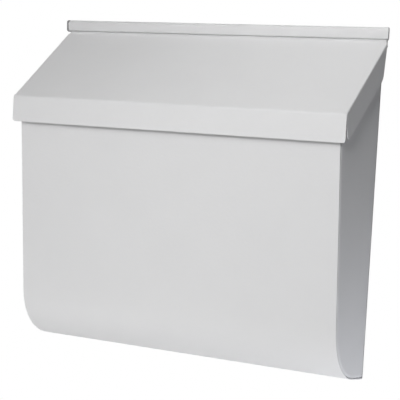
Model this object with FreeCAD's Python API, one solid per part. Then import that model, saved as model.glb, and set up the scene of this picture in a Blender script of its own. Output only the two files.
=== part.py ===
# Wall mounted post box of folded sheet steel, with a full-width lid hung under a rolled hood.
# Millimetres. +X to the right seen from the front, +Y towards the wall, +Z up.
# The origin is the middle of the four wall holes, on the back face. While a piece is being made,
# heights count from the lowest edge of the box, and save() moves the piece to the origin.

import FreeCAD, Part
from FreeCAD import Vector
import math
import os

# Overall
lid_width = 400.0           # the lid, the hood, and the strip of the back under it
lid_overhang = 7.6          # of the lid over each side of the box
box_width = lid_width - 2 * lid_overhang

# Sheet
sheet = 1.0                 # steel sheet, every folded piece
seam = 0.1                  # between sheets that are welded face to face
running_gap = 0.3           # between pieces that move past each other
sharp = 0.01                # radius of a corner that is cut square

# Box outline, outer faces, seen from the side
corner_depth = 78.5         # from the wall to where the front and bottom planes would meet
front_lean = 5.8            # degrees, the front leans out towards the top
bottom_fall = 7.6           # degrees, the bottom falls towards the wall
front_curve = 62.0          # radius where the front turns into the bottom
back_corner = 2.0           # outer radius where the bottom turns up into the back
hem_radius = 1.4            # outer radius of the closed hem along the front's top edge
hem_depth = 12.0
hem_end_gap = 0.5           # between the hem's ends and the side panels

# Lid, outer faces, seen from the side
lid_front_depth = 109.8     # from the wall to the fold between slope and lip
lid_front_height = 279.6
lip_height = 28.3
lip_lean = 0.5              # degrees
lid_fold = 3.5              # outer radius of the fold
lip_corner = 3.0            # rounded lower corners of the lip
rise_angle = 58.0           # degrees, the last strip of the slope before the hood
rise_length = 4.0
rise_radius = 4.0
flange_depth = 26.6         # square to the slope
flange_bend = 1.6           # outer radius
flange_front_gap = 2.4      # behind the fold, the open corner
flange_front_lean = 11.0    # degrees from upright
flange_tip = 4.0            # radius
flange_heel = 15.0          # radius
flange_rear_depth = 9.5     # from the wall, at the slope
flange_rear_lean = 9.0      # degrees from upright

# Hood and hinge line
hood_length = lid_width
hood_rear_radius = 3.8
hood_front_radius = 4.6
lip_roll = 1.3              # outer radius of the rolled lip that the lid turns on
lip_roll_depth = 7.0        # its centre, from the wall
lip_roll_height = 361.1
hood_top = lip_roll_height + 11.2
hood_lean = 5.0             # degrees, the hood's front leans in towards the rolled lip
lip_roll_turn = 235.0       # degrees of curl
hook_gap = 0.7              # between the rolled lip and the lid's hook
hook_end = 80.0             # degrees round the rolled lip, from straight back
strip_top = lip_roll_height - 1.6
strip_bottom = strip_top - 17.0     # the back is as wide as the lid from here up
strip_corner = 12.0

# Side panels, pressed pans
pan_inset = 1.0             # outer face behind the wrap's edge
pan_flange = 14.0
pan_bend = 3.5              # outer radius
pan_corner = 5.0            # corner radius of the pan's outline
rim_gap = 4.0               # under the lid's slope
rim_rear_depth = 22.0       # the rim runs level behind here

# Holes
wall_hole = 6.5
wall_spacing_x = 300.0
wall_spacing_z = 260.0
wall_centre_height = 190.0
drain_hole = 5.0
drain_spacing = 130.0
drain_from_back = 12.0

# Hood plugs and lid buffers
plug_head = 1.8             # stands out past the hood's end
plug_from_wall = 1.5
plug_drop = 1.2             # its foot reaches this far below the rolled lip
plug_stem = 10.0
plug_stem_radius = 2.7
plug_edge = 0.2             # straight part of the plug's edge, under its rounding
buffer_radius = 4.0
buffer_round = 1.0
buffer_setback = 20.0       # from the lid's fold, along the slope
buffer_from_edge = 8.0      # from the pan's outer face


def unit(degrees):
    """A direction in the side view, counted from straight back towards up."""
    angle = math.radians(degrees)
    return Vector(0, math.cos(angle), math.sin(angle))


def side(depth, height):
    """A point in the side view, by its distance from the wall and its height."""
    return Vector(0, -depth, height)


def meet(p, u, q, v):
    """Where the line through p along u crosses the line through q along v, in the side view."""
    gap = q - p
    return p + u * ((gap.y * v.z - gap.z * v.y) / (u.y * v.z - u.z * v.y))


def left_of(direction, normal):
    """The left-hand side of a direction, in the plane with this normal."""
    return normal.cross(direction)


def curl(centre, radius, start, stop):
    """Corners of a roll about centre, each to be rounded with the roll's own radius."""
    count = math.ceil((stop - start) / 80.0)
    step = (stop - start) / count
    reach = radius / math.cos(math.radians(step / 2))
    return [(centre + unit(start + step * (i + 0.5)) * reach, radius) for i in range(count)]


def face_path(path, normal, offset):
    """Edges of one face of a folded sheet.

    path is a list of (corner, radius); the face lies offset to the left of it, and every bend
    keeps the centre that it has on the path.
    """
    edges = []
    first = (path[1][0] - path[0][0]).normalize()
    here = path[0][0] + left_of(first, normal) * offset
    for (a, _), (b, radius), (c, _) in zip(path, path[1:], path[2:]):
        u = (b - a).normalize()
        v = (c - b).normalize()
        turn = math.atan2(normal.dot(u.cross(v)), u.dot(v))
        inward = left_of(u, normal) * math.copysign(1, turn)
        start = b - u * (radius * math.tan(abs(turn) / 2))
        centre = start + inward * radius
        reach = radius - math.copysign(offset, turn * offset)
        rim = (start - centre).normalize() * reach
        half = FreeCAD.Rotation(normal, math.degrees(turn) / 2)
        points = [centre + rim, centre + half.multVec(rim), centre + half.multVec(half.multVec(rim))]
        if (points[0] - here).Length > 1e-5:
            edges.append(Part.makeLine(here, points[0]))
        edges.append(Part.Arc(*points).toShape())
        here = points[2]
    last = (path[-1][0] - path[-2][0]).normalize()
    end = path[-1][0] + left_of(last, normal) * offset
    if (end - here).Length > 1e-5:
        edges.append(Part.makeLine(here, end))
        here = end
    return edges, here


def folded(path, thickness, normal=Vector(1, 0, 0)):
    """Section of a folded sheet: path is one face, and the sheet lies thickness to its left."""
    near, near_end = face_path(path, normal, 0.0)
    far, far_end = face_path(path, normal, thickness)
    start = left_of((path[1][0] - path[0][0]).normalize(), normal) * thickness
    caps = [Part.makeLine(path[0][0], path[0][0] + start), Part.makeLine(near_end, far_end)]
    return Part.Face(Part.Wire(Part.__sortEdges__(near + far + caps)))


def plate(corners):
    """A closed outline with rounded corners, from (corner, radius) pairs."""
    middle = (corners[0][0] + corners[-1][0]) * 0.5
    path = [(middle, 0.0)] + corners + [(middle, 0.0)]
    return Part.Face(Part.Wire(face_path(path, Vector(1, 0, 0), 0.0)[0]))


def across(section, width):
    """A section in the side view, carried across the box and centred on it."""
    section.translate(Vector(-width / 2, 0, 0))
    return section.extrude(Vector(width, 0, 0))


def mirrored(shape):
    return shape.mirror(Vector(0, 0, 0), Vector(1, 0, 0))


def save(shape, node):
    shape = shape.removeSplitter() if len(shape.Solids) == 1 else shape
    shape.translate(Vector(0, 0, -wall_centre_height))
    assert shape.isValid(), node
    shape.exportStep("parts/" + node + ".step")
    box = shape.BoundBox
    print(node, len(shape.Solids), "solid,", len(shape.Faces), "faces, x", round(box.XMin, 2),
          round(box.XMax, 2), "y", round(box.YMin, 2), round(box.YMax, 2), "z", round(box.ZMin, 2),
          round(box.ZMax, 2), "volume", round(shape.Volume))


# Lines that the pieces share, all in the side view
up_front = unit(90 + front_lean)
along_bottom = unit(-bottom_fall)
inward_front = unit(front_lean)
inward_bottom = unit(90 - bottom_fall)
front_foot = side(corner_depth, corner_depth * math.tan(math.radians(bottom_fall)))
back_foot = side(0, 0)
lid_fold_at = side(lid_front_depth, lid_front_height)
roll_at = side(lip_roll_depth, lip_roll_height)
hook_radius = lip_roll + hook_gap
hook_start = rise_angle - 90
rise_foot = roll_at + unit(hook_start) * hook_radius - unit(rise_angle) * rise_length
up_slope = (rise_foot - lid_fold_at).normalize()
under_slope = Vector(0, up_slope.z, -up_slope.y)
rim_at = lid_fold_at + under_slope * (sheet + rim_gap)


def hood_front():
    """The hood's front line: it touches the rolled lip and leans out going up."""
    touch = roll_at + unit(180 + hood_lean) * lip_roll
    return meet(touch, unit(90 + hood_lean), side(0, hood_top), Vector(0, 1, 0))


def wall_holes():
    """The four round holes that the box is screwed to the wall through."""
    holes = []
    for x in (-wall_spacing_x / 2, wall_spacing_x / 2):
        for z in (-wall_spacing_z / 2, wall_spacing_z / 2):
            foot = Vector(x, -2 * sheet, wall_centre_height + z)
            holes.append(Part.makeCylinder(wall_hole / 2, 4 * sheet, foot, Vector(0, 1, 0)))
    return holes


def drain_holes():
    """Round holes along the lowest part of the bottom."""
    holes = []
    for x in (-drain_spacing, 0, drain_spacing):
        foot = back_foot - along_bottom * drain_from_back - inward_bottom * sheet + Vector(x, 0, 0)
        holes.append(Part.makeCylinder(drain_hole / 2, 3 * sheet, foot, inward_bottom))
    return holes


def body_wrap():
    """One sheet: hemmed front, curved bottom, back, wide top strip and the hood with its rolled lip."""
    hem_top = meet(front_foot, up_front, rim_at, up_slope)
    hem_back = hem_top + inward_front * (2 * hem_radius)
    box_path = [(hem_top - up_front * hem_radius, 0), (front_foot, front_curve),
                (back_foot, back_corner), (side(0, strip_top), 0)]
    box = across(folded(box_path, sheet), box_width)
    hem_path = [(hem_back - up_front * hem_depth, 0), (hem_back, hem_radius), (hem_top, hem_radius),
                (hem_top - up_front * hem_depth, 0)]
    hem = across(folded(hem_path, sheet), box_width - 2 * (pan_inset + pan_flange + hem_end_gap))

    roll = curl(roll_at, lip_roll, 180 + hood_lean, 180 + hood_lean + lip_roll_turn)
    tail = roll_at + unit(180 + hood_lean + lip_roll_turn) * lip_roll
    hood_path = [(side(0, strip_bottom + strip_corner), 0), (side(0, hood_top), hood_rear_radius),
                 (hood_front(), hood_front_radius)] + roll + [(tail, 0)]
    hood = across(folded(hood_path, sheet), hood_length)

    strip = Part.makeBox(lid_width, sheet, strip_top - strip_bottom,
                         Vector(-lid_width / 2, -sheet, strip_bottom))
    corners = [e for e in strip.Edges if abs(e.BoundBox.ZMax - strip_bottom) < 0.01
               and e.BoundBox.XLength < 0.01]
    strip = strip.makeFillet(strip_corner, corners)
    return box.fuse([hem, hood, strip]).removeSplitter().cut(wall_holes() + drain_holes())


def side_panel():
    """The right-hand panel, pressed as a pan: its flanges turn in and are welded inside the wrap."""
    offset = sheet + seam
    front = front_foot + inward_front * offset
    bottom = back_foot + inward_bottom * offset
    back = side(offset, 0)
    rim_rear = meet(rim_at, up_slope, side(rim_rear_depth, 0), Vector(0, 0, 1))
    front_top = meet(front, up_front, rim_at, up_slope)
    outline = [(front_top, pan_corner),
               (meet(front, up_front, bottom, along_bottom), front_curve - offset),
               (meet(back, Vector(0, 0, 1), bottom, along_bottom), pan_corner),
               (side(offset, rim_rear.z), pan_corner),
               (rim_rear, 3 * pan_corner)]
    outer_x = box_width / 2 - pan_inset
    block = plate(outline).extrude(Vector(pan_flange, 0, 0))
    block.translate(Vector(outer_x - pan_flange, 0, 0))
    block = block.makeFillet(pan_bend, face_at(block, outer_x).Edges)
    return block.makeThickness([face_at(block, outer_x - pan_flange)], -sheet, 1e-4)


def face_at(shape, x):
    """The flat face of a shape that lies square across the box at x."""
    return next(f for f in shape.Faces if abs(f.BoundBox.XMin - x) < 1e-3
                and abs(f.BoundBox.XMax - x) < 1e-3)


def lid_flange_outline():
    """Side flange of the lid, from the middle of the slope's sheet down."""
    into_sheet = under_slope * (sheet / 2)
    front_top = lid_fold_at + up_slope * flange_front_gap + into_sheet
    rear_top = meet(lid_fold_at + into_sheet, up_slope, side(flange_rear_depth, 0), Vector(0, 0, 1))
    lower = lid_fold_at + under_slope * flange_depth
    front_way = unit(flange_front_lean - 90)
    rear_way = unit(-90 - flange_rear_lean)
    return [(front_top, sharp), (meet(front_top, front_way, lower, up_slope), flange_tip),
            (meet(rear_top, rear_way, lower, up_slope), flange_heel), (rear_top, sharp)]


def lid():
    """One sheet: lip, slope, side flanges, and a rear edge that hooks round the hood's rolled lip."""
    half = lid_width / 2
    lip_foot = lid_fold_at + unit(lip_lean - 90) * lip_height
    hook = curl(roll_at, hook_radius, hook_start, hook_end)
    end = roll_at + unit(hook_end) * hook_radius
    path = [(lip_foot, 0), (lid_fold_at, lid_fold), (rise_foot, rise_radius)] + hook + [(end, 0)]
    shell = across(folded(path, -sheet), lid_width)
    low = [e for e in shell.Edges if e.BoundBox.ZMax < lip_foot.z + sheet and e.BoundBox.XLength < 0.01
           and abs(e.Length - sheet) < 0.01]
    shell = shell.makeFillet(lip_corner, low)

    flange_outline = lid_flange_outline()
    rear_top = flange_outline[-1][0]
    bend_length = (rear_top - flange_outline[0][0]).Length
    for way in (-1, 1):
        out = Vector(way, 0, 0)
        corner = flange_outline[0][0] - under_slope * (sheet / 2) + out * half
        clear_at = corner + under_slope * flange_bend
        clear_at.x = min(corner.x, corner.x - 2 * flange_bend * way)
        clear = Part.makeBox(2 * flange_bend, bend_length, 2 * flange_bend)
        clear.Placement = FreeCAD.Placement(
            clear_at, FreeCAD.Rotation(Vector(1, 0, 0), up_slope, -under_slope))
        bend_path = [(corner - out * (3 * flange_bend), 0), (corner, flange_bend),
                     (corner + under_slope * (2 * flange_bend), 0)]
        bend = folded(bend_path, -way * sheet, up_slope * -1)
        bend = bend.extrude(up_slope * bend_length)
        flange = plate(flange_outline).extrude(out * -sheet)
        flange.translate(out * half)
        shell = shell.cut(clear).fuse([bend, flange.cut(clear)])

    clear_foot = rise_foot.z - plug_drop
    for x in (-half, half - running_gap):
        shell = shell.cut(Part.makeBox(running_gap, 2 * lip_roll_depth, hood_top - clear_foot,
                                       Vector(x, -2 * lip_roll_depth, clear_foot)))
    return shell.removeSplitter()


def hood_plug():
    """Right-hand plug: a domed head over the hood's end, and a stem pressed into the hood."""
    hood_end = hood_length / 2
    foot = roll_at.z - lip_roll - plug_drop
    low_front = meet(hood_front(), unit(90 + hood_lean), side(0, foot), Vector(0, 1, 0))
    outline = [(side(plug_from_wall, hood_top), 2 * lip_roll), (hood_front(), hood_front_radius),
               (low_front, 2 * lip_roll), (side(plug_from_wall, foot), 2 * lip_roll)]
    head = plate(outline).extrude(Vector(plug_head, 0, 0))
    head.translate(Vector(hood_end, 0, 0))
    head = head.makeFillet(plug_head - plug_edge, face_at(head, hood_end + plug_head).Edges)
    stem_at = side(sheet + seam + plug_stem_radius, hood_top - sheet - seam - plug_stem_radius)
    stem = Part.makeCylinder(plug_stem_radius, plug_stem, stem_at + Vector(hood_end - plug_stem, 0, 0),
                             Vector(1, 0, 0))
    return head.fuse(stem)


def lid_buffer():
    """Right-hand rubber pad on the side panel's rim, under the front of the lid."""
    seat = rim_at + up_slope * buffer_setback
    seat.x = box_width / 2 - pan_inset - buffer_from_edge
    pad = Part.makeCylinder(buffer_radius, rim_gap - running_gap, seat, under_slope * -1)
    top = [e for e in pad.Edges if (e.CenterOfMass - seat).Length > rim_gap / 2
           and len(e.Vertexes) == 1]
    return pad.makeFillet(buffer_round, top)


os.makedirs("parts", exist_ok=True)
save(body_wrap(), "body_wrap")
save(lid(), "lid")
for name, make in (("side_panel", side_panel), ("hood_plug", hood_plug), ("lid_buffer", lid_buffer)):
    save(make(), name + "_right")
    save(mirrored(make()), name + "_left")
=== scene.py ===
import math

import bmesh
import bpy
import numpy as np
from mathutils import Matrix, Vector


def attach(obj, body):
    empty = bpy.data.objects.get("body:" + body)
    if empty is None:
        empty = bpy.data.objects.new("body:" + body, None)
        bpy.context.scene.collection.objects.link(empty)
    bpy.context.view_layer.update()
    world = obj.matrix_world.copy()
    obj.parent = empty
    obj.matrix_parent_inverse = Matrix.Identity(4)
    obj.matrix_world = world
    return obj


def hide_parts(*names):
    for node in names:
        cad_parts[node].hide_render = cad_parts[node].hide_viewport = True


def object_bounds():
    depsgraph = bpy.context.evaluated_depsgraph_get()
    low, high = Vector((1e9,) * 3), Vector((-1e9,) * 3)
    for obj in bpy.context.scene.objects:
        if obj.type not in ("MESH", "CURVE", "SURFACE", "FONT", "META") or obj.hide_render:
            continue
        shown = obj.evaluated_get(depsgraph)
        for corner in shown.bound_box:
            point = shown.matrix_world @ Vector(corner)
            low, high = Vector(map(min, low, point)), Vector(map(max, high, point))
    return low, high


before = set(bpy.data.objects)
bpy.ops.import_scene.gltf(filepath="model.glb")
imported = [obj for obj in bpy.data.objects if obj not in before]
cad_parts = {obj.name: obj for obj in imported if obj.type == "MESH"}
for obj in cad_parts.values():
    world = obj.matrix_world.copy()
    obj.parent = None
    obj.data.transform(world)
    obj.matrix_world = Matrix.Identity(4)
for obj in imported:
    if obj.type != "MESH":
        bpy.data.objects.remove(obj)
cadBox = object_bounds()
mm = 0.001


# Shader maths: a socket that adds Math nodes as it is used in an expression
class Wire:
    def __init__(self, tree, socket):
        self.tree = tree
        self.socket = socket

    def node(self, kind, settings=None, **inputs):
        return addNode(self.tree, kind, settings, inputs)

    def math(self, operation, first, second):
        return self.node("ShaderNodeMath", {"operation": operation}, **{"0": first, "1": second})

    def __add__(self, other):
        return self.math("ADD", self, other)

    def __sub__(self, other):
        return self.math("SUBTRACT", self, other)

    def __mul__(self, other):
        return self.math("MULTIPLY", self, other)

    def __rsub__(self, other):
        return self.math("SUBTRACT", other, self)

    __radd__ = __add__
    __rmul__ = __mul__


def addNode(tree, kind, settings=None, inputs=None, output=0):
    # settings go first, because some of them change which sockets the node has
    made = tree.nodes.new(kind)
    for name, value in (settings or {}).items():
        setattr(made, name, value)
    for name, value in (inputs or {}).items():
        socket = made.inputs[int(name)] if name.isdigit() else made.inputs[name]
        if isinstance(value, Wire):
            tree.links.new(value.socket, socket)
        else:
            socket.default_value = value
    return Wire(tree, made.outputs[output]) if made.outputs else made


def startMaterial(name):
    made = bpy.data.materials.new(name)
    made.use_nodes = True
    made.node_tree.nodes.clear()
    return made, made.node_tree


def finishMaterial(tree, shader):
    addNode(tree, "ShaderNodeOutputMaterial", inputs={"Surface": shader})


def addNoise(tree, place, size, detail, roughness=0.5):
    return addNode(tree, "ShaderNodeTexNoise", inputs={
        "Vector": place, "Scale": 1 / size, "Detail": detail, "Roughness": roughness})


def addBump(tree, height):
    # heights are in metres, so strength and distance stay 1
    return addNode(tree, "ShaderNodeBump", inputs={"Strength": 1.0, "Distance": 1.0, "Height": height})


print("materials")

powderCoat = {
    "colour": (0.79, 0.79, 0.795, 1.0),
    "shade": 0.965,             # the darker of the two tones that drift across it
    "driftSize": 55 * mm,
    "driftDetail": 3.0,
    "driftRoughness": 0.55,
    "roughness": 0.5,
    "specular": 0.3,
    "roughnessDrift": 0.06,
    "peelSize": 3.2 * mm,       # orange peel, from crest to crest
    "peelDepth": 0.11 * mm,
    "peelDetail": 1.5,
    "grainSize": 0.7 * mm,
    "grainDepth": 0.006 * mm,
    "grainDetail": 1.0,
}


def makePowderCoat(name, coat):
    made, tree = startMaterial(name)
    place = addNode(tree, "ShaderNodeTexCoord", output=3)
    drift = addNoise(tree, place, coat["driftSize"], coat["driftDetail"], coat["driftRoughness"])
    peel = addNoise(tree, place, coat["peelSize"], coat["peelDetail"])
    grain = addNoise(tree, place, coat["grainSize"], coat["grainDetail"])
    pale = coat["colour"]
    deep = [c * coat["shade"] for c in pale[:3]] + [1.0]
    base = addNode(tree, "ShaderNodeMix", {"data_type": "RGBA"},
                   {"0": drift, "6": pale, "7": deep}, output=2)
    bump = addBump(tree, peel * coat["peelDepth"] + grain * coat["grainDepth"])
    rough = drift * (2 * coat["roughnessDrift"]) + (coat["roughness"] - coat["roughnessDrift"])
    shader = addNode(tree, "ShaderNodeBsdfPrincipled", inputs={
        "Base Color": base, "Roughness": rough, "Normal": bump,
        "Specular IOR Level": coat["specular"]})
    finishMaterial(tree, shader)
    return made


# dark grey, far darker than the white coat, so that the plugs show as thin dark rims at the hood's ends
plasticLook = {
    "colour": (0.25, 0.25, 0.255, 1.0),
    "roughness": 0.5,
    "roughnessDrift": 0.05,
    "grainSize": 0.5 * mm,
    "grainDepth": 0.008 * mm,
    "grainDetail": 2.0,
}
rubberLook = {
    "colour": (0.05, 0.05, 0.05, 1.0),
    "roughness": 0.75,
    "roughnessDrift": 0.05,
    "grainSize": 0.8 * mm,
    "grainDepth": 0.03 * mm,
    "grainDetail": 2.0,
}


def makeMoulded(name, look):
    made, tree = startMaterial(name)
    place = addNode(tree, "ShaderNodeTexCoord", output=3)
    grain = addNoise(tree, place, look["grainSize"], look["grainDetail"])
    bump = addBump(tree, grain * look["grainDepth"])
    rough = grain * (2 * look["roughnessDrift"]) + (look["roughness"] - look["roughnessDrift"])
    shader = addNode(tree, "ShaderNodeBsdfPrincipled", inputs={
        "Base Color": look["colour"], "Roughness": rough, "Normal": bump})
    finishMaterial(tree, shader)
    return made


whiteCoat = makePowderCoat("whitePowderCoat", powderCoat)
plugPlastic = makeMoulded("plugPlastic", plasticLook)
bufferRubber = makeMoulded("bufferRubber", rubberLook)


print("painted pieces")

softEdge = {
    "wrap": 0.42 * mm,          # widths of the rounding
    "side": 0.3 * mm,
    "lid": 0.45 * mm,
    "segments": 3,
    "fold": 35.0,               # degrees, an edge that turns by more is a cut edge
    "flat": 0.2,                # degrees, faces that turn by less are joined
    "merge": 0.001 * mm,
}


def softened(node, name, body, width, trim):
    # a copy of a sheet's mesh, merged, its flat faces joined, its points moved by trim, and its cut
    # edges rounded by the coat
    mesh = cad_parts[node].data.copy()
    work = bmesh.new()
    work.from_mesh(mesh)
    bmesh.ops.remove_doubles(work, verts=work.verts, dist=softEdge["merge"])
    bmesh.ops.dissolve_limit(
        work, angle_limit=math.radians(softEdge["flat"]), verts=work.verts, edges=work.edges)
    work.to_mesh(mesh)
    work.free()
    places = np.empty(len(mesh.vertices) * 3)
    mesh.vertices.foreach_get("co", places)
    mesh.vertices.foreach_set("co", trim(places.reshape(-1, 3)).ravel())
    mesh.update()
    mesh.materials.clear()
    mesh.materials.append(whiteCoat)
    mesh.shade_smooth()
    mesh.set_sharp_from_angle(angle=math.radians(softEdge["fold"]))
    piece = bpy.data.objects.new(name, mesh)
    bpy.context.scene.collection.objects.link(piece)
    bevel = piece.modifiers.new("coat", "BEVEL")
    bevel.width = width
    bevel.segments = softEdge["segments"]
    bevel.limit_method = "ANGLE"
    bevel.angle_limit = math.radians(softEdge["fold"])
    bevel.harden_normals = True
    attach(piece, body)
    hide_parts(node)


hoodEnds = {
    "boxHalf": 192.4 * mm,      # half widths of the box, the strip under the hood, the hood's front
    "stripHalf": 196.5 * mm,
    "frontHalf": 200.0 * mm,
    "frontDepth": 9.7 * mm,
    "sheet": 1.0 * mm,
    "cornerTop": 164.5 * mm,    # the strip's lower corner starts to round here
    "cornerRadius": 12.0 * mm,
    "cornerReach": 1.05,        # points down to this share of the radius belong to the corner
    "slack": 0.01 * mm,
}


def hoodHalfAt(depth):
    # half width of the hood by depth: the strip's as far as its front face, then a straight slant
    # outwards
    way = np.clip((depth - hoodEnds["sheet"]) / (hoodEnds["frontDepth"] - hoodEnds["sheet"]), 0, 1)
    return hoodEnds["stripHalf"] + way * (hoodEnds["frontHalf"] - hoodEnds["stripHalf"])


def trimHood(places):
    # the hood's ends move in to their slant; the strip's corner is an arc about a point that moves in
    # by as much, and it stops on the box's edge
    x, y, z = places.T
    slack, radius, centreZ = hoodEnds["slack"], hoodEnds["cornerRadius"], hoodEnds["cornerTop"]
    end = np.abs(x) > hoodEnds["boxHalf"] - slack
    corner = end & (z < centreZ - slack) & (z > centreZ - hoodEnds["cornerReach"] * radius)
    hood = end & (z > centreZ - slack)
    oldCentre = hoodEnds["frontHalf"] - radius
    newCentre = hoodEnds["stripHalf"] - radius
    oldStop = math.acos((hoodEnds["boxHalf"] - oldCentre) / radius)
    newStop = math.acos((hoodEnds["boxHalf"] - newCentre) / radius)
    turn = np.arcsin(np.clip((centreZ - z) / radius, 0, 1)) * newStop / oldStop
    newX = np.where(hood, np.minimum(hoodHalfAt(-y), np.abs(x)), np.abs(x))
    newX = np.where(corner, newCentre + radius * np.cos(turn), newX)
    newZ = np.where(corner, centreZ - radius * np.sin(turn), z)
    return np.stack([np.sign(x) * newX, y, newZ], axis=1)


sidePanels = {"out": 1.7 * mm}


def sidesOut(places):
    # a side panel moves outwards, so that its pressed edge stands a little proud of the wrap's
    return places + np.array([1.0, 0.0, 0.0]) * np.sign(places[:, :1]) * sidePanels["out"]


lidHook = {
    "depth": 7.0 * mm,          # place of the hinge line
    "height": 171.1 * mm,
    "half": 197.3 * mm,         # half width round the hinge line
    "near": 3.3 * mm,           # distances from it where the widening starts and stops
    "far": 8.0 * mm,
}


def trimLid(places):
    # round the hinge line the lid ends short of the plugs, and from there it widens to its full
    # width in proportion to the distance
    x, y, z = places.T
    away = np.hypot(y + lidHook["depth"], z - lidHook["height"])
    way = np.clip((away - lidHook["near"]) / (lidHook["far"] - lidHook["near"]), 0, 1)
    half = lidHook["half"] + way * (hoodEnds["frontHalf"] - lidHook["half"])
    return np.stack([np.sign(x) * np.minimum(np.abs(x), half), y, z], axis=1)


softened("body_wrap", "wrap_painted", "box", softEdge["wrap"], trimHood)
softened("side_panel_right", "side_right_painted", "box", softEdge["side"], sidesOut)
softened("side_panel_left", "side_left_painted", "box", softEdge["side"], sidesOut)
softened("lid", "lid_painted", "lid", softEdge["lid"], trimLid)


print("plugs and buffers")

plugShape = {
    "top": 182.1 * mm,
    "foot": 168.7 * mm,
    "front": 9.75 * mm,
    "rear": 1.4 * mm,
    "corner": 2.2 * mm,
    "lean": 5.0,                # degrees, as the front of the hood
    "thickFront": 1.72 * mm,
    "thickRear": 1.0 * mm,
    "crown": 0.85 * mm,         # fall of the crown at the head's top and foot
    "clear": 0.03 * mm,         # between the head and the hood's cut end
    "edge": 0.12 * mm,          # fall of the outer face at its rim
    "shares": (1.0, 0.97, 0.75, 0.5, 0.25, 0.0),    # of the outline, for the rings of the outer face
    "stemRadius": 2.7 * mm,
    "stemEnd": 190.0 * mm,
    "stemDepth": 3.8 * mm,
    "stemHeight": 178.5 * mm,
    "around": 48,               # points of a ring
}


def makePlug(sideName, way):
    # rings of points: a round stem, then the head's outline, a rounded rectangle that leans with the
    # hood. The head's inner face follows the hood's slanted end, and its outer face stands out by a
    # thickness that falls towards the rear and, with the square of the height, towards top and foot.
    facts = plugShape
    turn = (np.arange(facts["around"]) + 0.5) / facts["around"] * 2 * math.pi
    halfY, halfZ = (facts["front"] - facts["rear"]) / 2, (facts["top"] - facts["foot"]) / 2
    midY, midZ = -(facts["front"] + facts["rear"]) / 2, (facts["top"] + facts["foot"]) / 2
    corner = facts["corner"]
    flatY = (halfY - corner) * np.sign(np.cos(turn)) + corner * np.cos(turn)
    flatZ = (halfZ - corner) * np.sign(np.sin(turn)) + corner * np.sin(turn)
    headY = midY + flatY - np.where(flatY < 0, flatZ * math.tan(math.radians(facts["lean"])) / 2, 0)
    headZ = midZ + flatZ

    def inner(y):
        return hoodHalfAt(-y) + facts["clear"]

    def outer(y, z):
        deep = (-y - facts["rear"]) / (facts["front"] - facts["rear"])
        thick = facts["thickRear"] + deep * (facts["thickFront"] - facts["thickRear"])
        return inner(y) + thick - facts["crown"] * ((z - midZ) / halfZ) ** 2

    stemY = -facts["stemDepth"] + facts["stemRadius"] * np.cos(turn)
    stemZ = facts["stemHeight"] + facts["stemRadius"] * np.sin(turn)
    poleY, poleZ = np.full_like(turn, -facts["stemDepth"]), np.full_like(turn, facts["stemHeight"])
    stemX = np.full_like(turn, facts["stemEnd"])
    rings = [(stemX, poleY, poleZ), (stemX, stemY, stemZ),
             (inner(stemY), stemY, stemZ), (inner(headY), headY, headZ)]
    for share in facts["shares"]:
        y, z = midY + (headY - midY) * share, midZ + (headZ - midZ) * share
        rings.append((outer(y, z) - (facts["edge"] if share == 1.0 else 0), y, z))
    x, y, z = (np.array([ring[k] for ring in rings]) for k in range(3))
    return gridPiece("plug_" + sideName, np.stack([way * x, y, z], axis=-1), way < 0)


def gridPiece(name, points, turned):
    # rings of points joined by faces; each of the first and last rings is one point, merged to a pole
    rows, around = points.shape[:2]
    first = np.arange(rows - 1)[:, None] * around + np.arange(around)
    after = np.arange(rows - 1)[:, None] * around + (np.arange(around) + 1) % around
    faces = np.stack([first, first + around, after + around, after], axis=-1).reshape(-1, 4)
    mesh = bpy.data.meshes.new(name)
    if turned:
        faces = faces[:, ::-1]
    mesh.from_pydata(points.reshape(-1, 3).tolist(), [], faces.tolist())
    work = bmesh.new()
    work.from_mesh(mesh)
    bmesh.ops.remove_doubles(work, verts=work.verts, dist=softEdge["merge"])
    bmesh.ops.recalc_face_normals(work, faces=work.faces)
    work.to_mesh(mesh)
    work.free()
    mesh.shade_smooth()
    mesh.set_sharp_from_angle(angle=math.radians(softEdge["fold"]))
    piece = bpy.data.objects.new(name, mesh)
    bpy.context.scene.collection.objects.link(piece)
    return piece


for sideName, way in (("right", 1), ("left", -1)):
    plug = makePlug(sideName, way)
    plug.data.materials.append(plugPlastic)
    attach(plug, "box")
    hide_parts("hood_plug_" + sideName)
    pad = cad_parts["lid_buffer_" + sideName]
    pad.data.materials.clear()
    pad.data.materials.append(bufferRubber)


print("studio")

studio = {
    "floorDrop": 1.45,          # the floor, below the lowest edge of the box
    "floorSize": 8.0,
    "floorTone": (0.8, 0.8, 0.8, 1.0),
    "floorGlow": 0.7,           # of the floor under the box
    "whiteFrom": 2.0,           # distances from the origin between which the floor turns white
    "whiteTo": 3.2,
    "worldLight": 0.0,          # what the world adds to the lamps
    "white": 1.0,
    "whiteTone": (1.0, 1.0, 1.0, 1.0),
}


def seenRays(tree):
    # 1 where a thing is seen straight on, in a reflection or through a clear piece
    ray = tree.nodes.new("ShaderNodeLightPath")
    kinds = [Wire(tree, ray.outputs[kind])
             for kind in ("Is Camera Ray", "Is Glossy Ray", "Is Transmission Ray")]
    return kinds[0] + kinds[1] + kinds[2]


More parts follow.
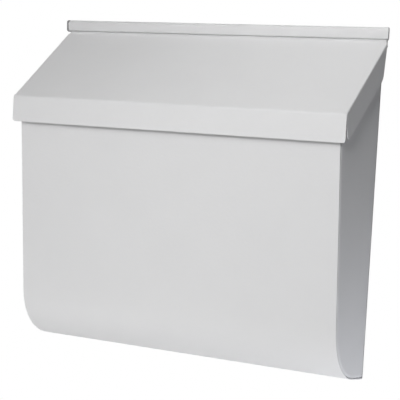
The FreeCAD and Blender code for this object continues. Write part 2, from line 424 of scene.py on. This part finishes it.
def makePaleFloor():
    # where it is seen it glows, whiter with the distance, and for other light it is plain
    made, tree = startMaterial("paleFloor")
    place = addNode(tree, "ShaderNodeTexCoord", output=3)
    distance = addNode(tree, "ShaderNodeVectorMath", {"operation": "LENGTH"}, {"0": place}, output=1)
    far = addNode(tree, "ShaderNodeMapRange", {"interpolation_type": "SMOOTHSTEP"}, {
        "Value": distance, "From Min": studio["whiteFrom"], "From Max": studio["whiteTo"]})
    white = addNode(tree, "ShaderNodeEmission", inputs={
        "Color": studio["whiteTone"], "Strength": studio["white"]})
    glow = addNode(tree, "ShaderNodeEmission", inputs={
        "Color": studio["whiteTone"], "Strength": studio["floorGlow"]})
    matt = addNode(tree, "ShaderNodeBsdfDiffuse", inputs={"Color": studio["floorTone"]})
    near = addNode(tree, "ShaderNodeAddShader", inputs={"0": glow, "1": matt})
    both = addNode(tree, "ShaderNodeMixShader", inputs={"0": far, "1": near, "2": white})
    shader = addNode(tree, "ShaderNodeMixShader", inputs={"0": seenRays(tree), "1": matt, "2": both})
    finishMaterial(tree, shader)
    return made


def makeFloor():
    half = studio["floorSize"] / 2
    z = cadBox[0].z - studio["floorDrop"]
    corners = [(-half, -half, z), (half, -half, z), (half, half, z), (-half, half, z)]
    mesh = bpy.data.meshes.new("floor")
    mesh.from_pydata(corners, [], [(0, 1, 2, 3)])
    mesh.materials.append(makePaleFloor())
    floor = bpy.data.objects.new("floor", mesh)
    bpy.context.scene.collection.objects.link(floor)


def makeWorld():
    world = bpy.data.worlds.new("studio")
    bpy.context.scene.world = world
    world.use_nodes = True
    tree = world.node_tree
    tree.nodes.clear()
    low, high = studio["worldLight"], studio["white"]
    strength = seenRays(tree) * (high - low) + low
    back = addNode(tree, "ShaderNodeBackground", inputs={
        "Color": studio["whiteTone"], "Strength": strength})
    addNode(tree, "ShaderNodeOutputWorld", inputs={"Surface": back})


lamps = {
    "key": {"place": (0.608, -2.269, 0.855), "size": 0.5, "power": 19.5},
    "keyLeft": {"place": (-0.993, -2.129, 0.855), "size": 0.5, "power": 1.8},
    "topFront": {"place": (0.375, -0.650, 1.299), "size": 0.5, "power": 1.7},
    "nearTop": {"place": (0.12, -0.7, 0.5), "size": 0.25, "power": 1.45},
    "topRight": {"place": (0.19, -0.15, 0.5), "size": 0.15, "power": 0.25},
    "nearFront": {"place": (0.16, -0.9, 0.2), "size": 0.3, "power": 0.45},
    "below": {"place": (0.0, -0.05, -0.8), "size": 0.5, "power": 0.7},
    "lowFront": {"place": (0.0, -0.919, -0.771), "size": 0.6, "power": 2.7},
    "lowLeft": {"place": (-0.35, -0.5, -0.6), "size": 0.3, "power": 0.8},
    "side": {
        "place": (0.44, -0.03, -0.33), "size": 0.2, "power": 0.52, "colour": (0.92, 0.94, 1.0)},
    "lowRight": {
        "place": (0.34, 0.0, -0.55), "size": 0.3, "power": 0.15, "colour": (0.92, 0.94, 1.0)},
    "leftFill": {"place": (-1.69, 0.61, -0.16), "size": 0.8, "power": 15.0},
    "backFill": {"place": (-0.9, 1.8, -0.1), "size": 0.6, "power": 17.0},
}


def makeLamp(name, lamp):
    light = bpy.data.lights.new(name, "AREA")
    light.shape = "DISK"
    light.size = lamp["size"]
    light.energy = lamp["power"]
    light.color = lamp.get("colour", (1.0, 1.0, 1.0))
    made = bpy.data.objects.new(name, light)
    made.location = lamp["place"]
    made.rotation_euler = (-Vector(lamp["place"])).to_track_quat("-Z", "Y").to_euler()
    made.visible_camera = False
    bpy.context.scene.collection.objects.link(made)


view = {
    "place": (683.0 * mm, -1309.3 * mm, 87.8 * mm),
    "turn": 28.12,              # degrees, from straight on, seen from the right
    "down": 3.14,
    "roll": 3.25,
    "focalPixels": 1316.1,
    "framePixels": 400.0,       # width of the frame that the pixels are counted in
    "axisRow": 180.0,           # pixel row of the lens axis
    "sensor": 36.0,             # millimetres, as the lens
}


def makeCamera():
    turn, down, roll = (math.radians(view[k]) for k in ("turn", "down", "roll"))
    ahead = Vector((-math.sin(turn) * math.cos(down), math.cos(turn) * math.cos(down), -math.sin(down)))
    level = Vector((math.cos(turn), math.sin(turn), 0))
    upright = level.cross(ahead)
    right = level * math.cos(roll) + upright * math.sin(roll)
    up = upright * math.cos(roll) - level * math.sin(roll)
    lens = bpy.data.cameras.new("camera")
    lens.sensor_width = view["sensor"]
    lens.lens = view["focalPixels"] / view["framePixels"] * view["sensor"]
    lens.shift_y = view["axisRow"] / view["framePixels"] - 0.5
    camera = bpy.data.objects.new("camera", lens)
    turned = Matrix((right, up, -ahead)).transposed().to_4x4()
    camera.matrix_world = Matrix.Translation(view["place"]) @ turned
    bpy.context.scene.collection.objects.link(camera)
    bpy.context.scene.camera = camera


makeFloor()
makeWorld()
for lampName, lampFacts in lamps.items():
    makeLamp(lampName, lampFacts)
makeCamera()
bpy.context.scene.view_settings.view_transform = "Standard"

bpy.context.view_layer.update()
